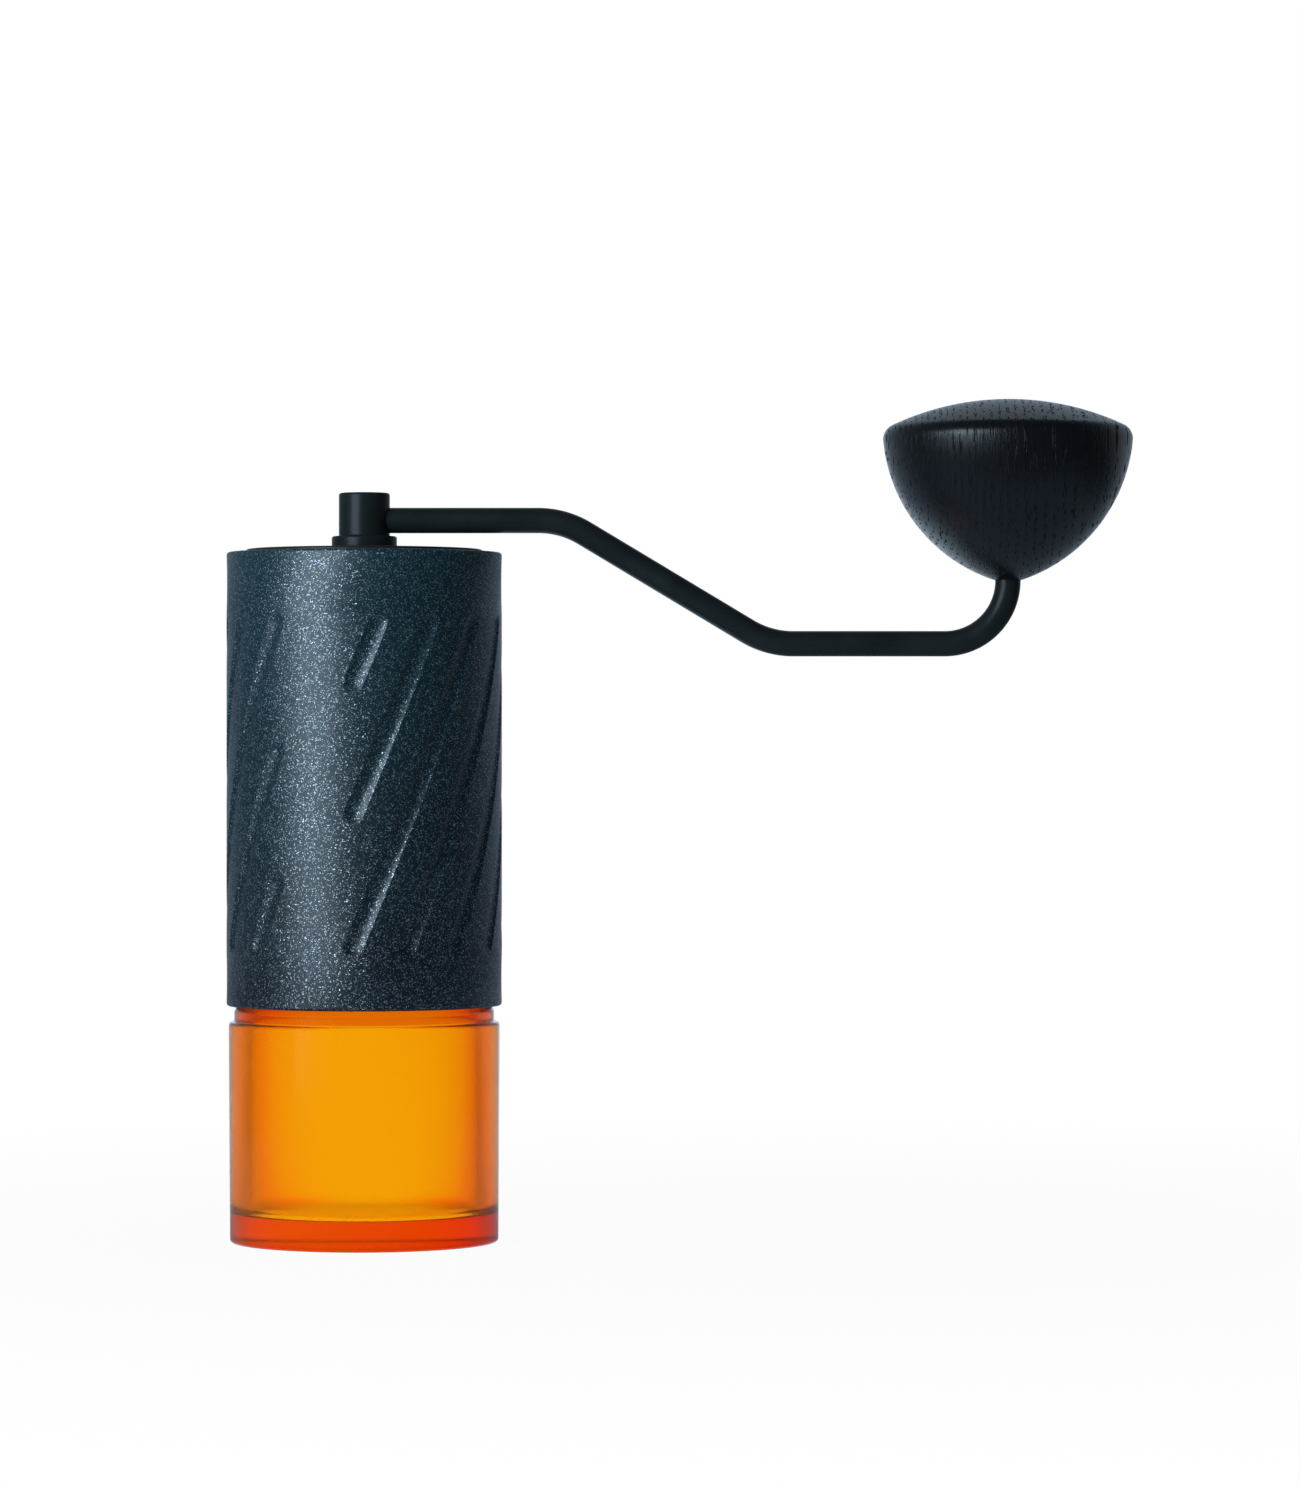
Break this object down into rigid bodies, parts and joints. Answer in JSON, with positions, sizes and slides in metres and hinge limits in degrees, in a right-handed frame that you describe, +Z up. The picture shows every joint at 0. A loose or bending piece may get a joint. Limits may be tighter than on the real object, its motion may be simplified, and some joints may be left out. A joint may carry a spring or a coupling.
{
  "type": "hand crank coffee grinder",
  "caption": "Hand crank coffee grinder: fluted coated barrel over a screw-on translucent jar, with a bent crank arm, domed wooden knob and stepped conical burrs inside.",
  "frame": {"origin": "centre of the jar's flat foot, on the grinding axis", "axes": "+Z up the grinding axis, +X from that axis towards the crank's knob"},
  "size_m": [0.1779, 0.054, 0.1653],
  "materials": {
    "barrel_coat": "textured powder coat with fine metal flecks",
    "frame_polymer": "moulded black polymer",
    "burr_steel": "hardened ground steel",
    "retainer_steel": "plain steel",
    "bearing_steel": "polished bearing steel",
    "cage_polymer": "moulded polymer",
    "axle_steel": "turned steel",
    "spring_steel": "spring steel",
    "dial_metal": "black anodised",
    "jar_polymer": "clear orange polymer",
    "seal_rubber": "soft black rubber",
    "lid_polymer": "moulded black polymer",
    "crank_finish": "satin black coating on steel",
    "knob_wood": "black stained open-grain wood"
  },
  "bodies": {
    "body": {"barrel_shell": "barrel_coat", "hopper_frame": "frame_polymer", "burr_frame": "frame_polymer", "ring_burr": "burr_steel", "burr_retainer": "retainer_steel", "retainer_screws": "retainer_steel", "upper_outer_race": "bearing_steel", "lower_outer_race": "bearing_steel"},
    "axle": {"axle": "axle_steel", "upper_inner_race": "bearing_steel", "lower_inner_race": "bearing_steel", "spring_washer": "retainer_steel", "burr_spring": "spring_steel"},
    "crank": {"crank_hub": "crank_finish", "crank_arm": "crank_finish", "lid_clip": "spring_steel", "pin_clip": "spring_steel"},
    "lid": {"lid": "lid_polymer"},
    "knob": {"knob": "knob_wood", "knob_bush": "cage_polymer"},
    "burr": {"cone_burr": "burr_steel", "click_disc": "retainer_steel"},
    "dial": {"adjustment_dial": "dial_metal", "click_balls": "bearing_steel", "click_springs": "spring_steel"},
    "upper_balls": {"upper_bearing_balls": "bearing_steel", "upper_bearing_cage": "cage_polymer"},
    "lower_balls": {"lower_bearing_balls": "bearing_steel", "lower_bearing_cage": "cage_polymer"},
    "seal": {"jar_seal": "seal_rubber"},
    "jar": {"jar": "jar_polymer"}
  },
  "joints": [
    {"name": "crank_turn", "type": "hinge", "parent": "body", "child": "axle", "pos_m": [0, 0, 0.11], "axis": [0, 0, 1], "continuous": true},
    {"name": "crank_lift", "type": "slide", "parent": "axle", "child": "crank", "axis": [0, 0, 1], "range_m": [0, 0.04]},
    {"name": "lid_lift", "type": "slide", "parent": "body", "child": "lid", "axis": [0, 0, 1], "range_m": [0, 0.04]},
    {"name": "knob_spin", "type": "hinge", "parent": "crank", "child": "knob", "pos_m": [0.1264, 0, 0.145], "axis": [0, 0, 1], "continuous": true},
    {"name": "burr_shift", "type": "slide", "parent": "axle", "child": "burr", "axis": [0, 0, 1], "range_m": [-0.00113, 0.00094], "deforming": ["burr_spring"]},
    {"name": "dial_turn", "type": "hinge", "parent": "burr", "child": "dial", "pos_m": [0, 0, 0.053], "axis": [0, 0, 1], "range_deg": [-540, 450]},
    {"name": "upper_balls_turn", "type": "hinge", "parent": "body", "child": "upper_balls", "pos_m": [0, 0, 0.1067], "axis": [0, 0, 1], "continuous": true},
    {"name": "lower_balls_turn", "type": "hinge", "parent": "body", "child": "lower_balls", "pos_m": [0, 0, 0.0795], "axis": [0, 0, 1], "continuous": true},
    {"name": "jar_drop", "type": "slide", "parent": "body", "child": "seal", "axis": [0, 0, -1], "range_m": [0, 0.012]},
    {"name": "jar_turn", "type": "hinge", "parent": "seal", "child": "jar", "pos_m": [0, 0, 0.05], "axis": [0, 0, -1], "range_deg": [0, 720]}
  ],
  "couplings": [
    {"joint": "lid_lift", "follows": "crank_lift", "ratio": 1},
    {"joint": "burr_shift", "follows": "dial_turn", "m_per_rad": 0.00011937},
    {"joint": "upper_balls_turn", "follows": "crank_turn", "ratio": 0.4},
    {"joint": "lower_balls_turn", "follows": "crank_turn", "ratio": 0.4},
    {"joint": "jar_drop", "follows": "jar_turn", "m_per_rad": 0.00095493}
  ]
}
